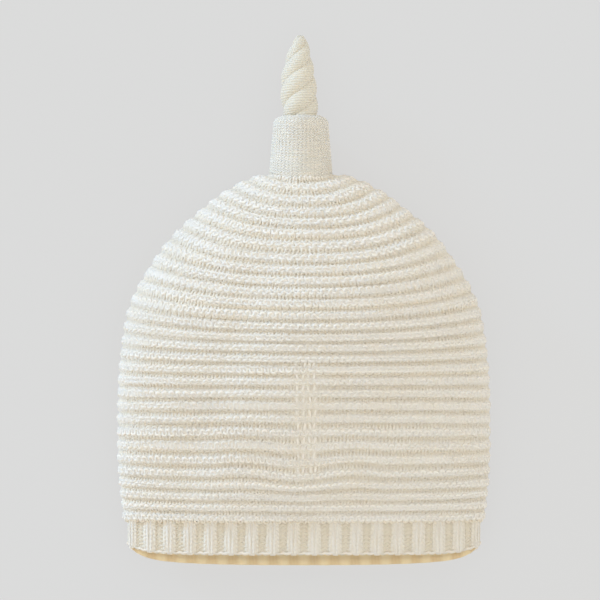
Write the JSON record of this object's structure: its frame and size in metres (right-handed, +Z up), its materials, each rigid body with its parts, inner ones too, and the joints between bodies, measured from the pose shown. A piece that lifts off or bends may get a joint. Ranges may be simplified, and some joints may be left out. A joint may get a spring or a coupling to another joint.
{
  "type": "knitted cap with a twisted horn",
  "caption": "Baby's cream knitted cap laid flat: welted dome crown, ribbed band, small collar and a twisted stuffed horn on top.",
  "frame": {"origin": "on the floor under the middle of the whole cap, which lies on its back", "axes": "+Y from the opening towards the tip of the horn, +X to the right of the face as seen from above, +Z up from the floor"},
  "size_m": [0.1836, 0.2594, 0.0515],
  "materials": {
    "welted_knit": "cream wool yarn, welted knitting, soft and matt",
    "ribbed_knit": "cream wool yarn, ribbed knitting, soft and matt",
    "fine_knit": "cream yarn, fine plain knitting, matt",
    "twisted_cord": "cream yarn, three twisted strands, matt"
  },
  "bodies": {
    "root": {"crown": "welted_knit", "rib_band": "ribbed_knit", "horn_collar": "fine_knit", "horn": "twisted_cord"}
  },
  "joints": []
}
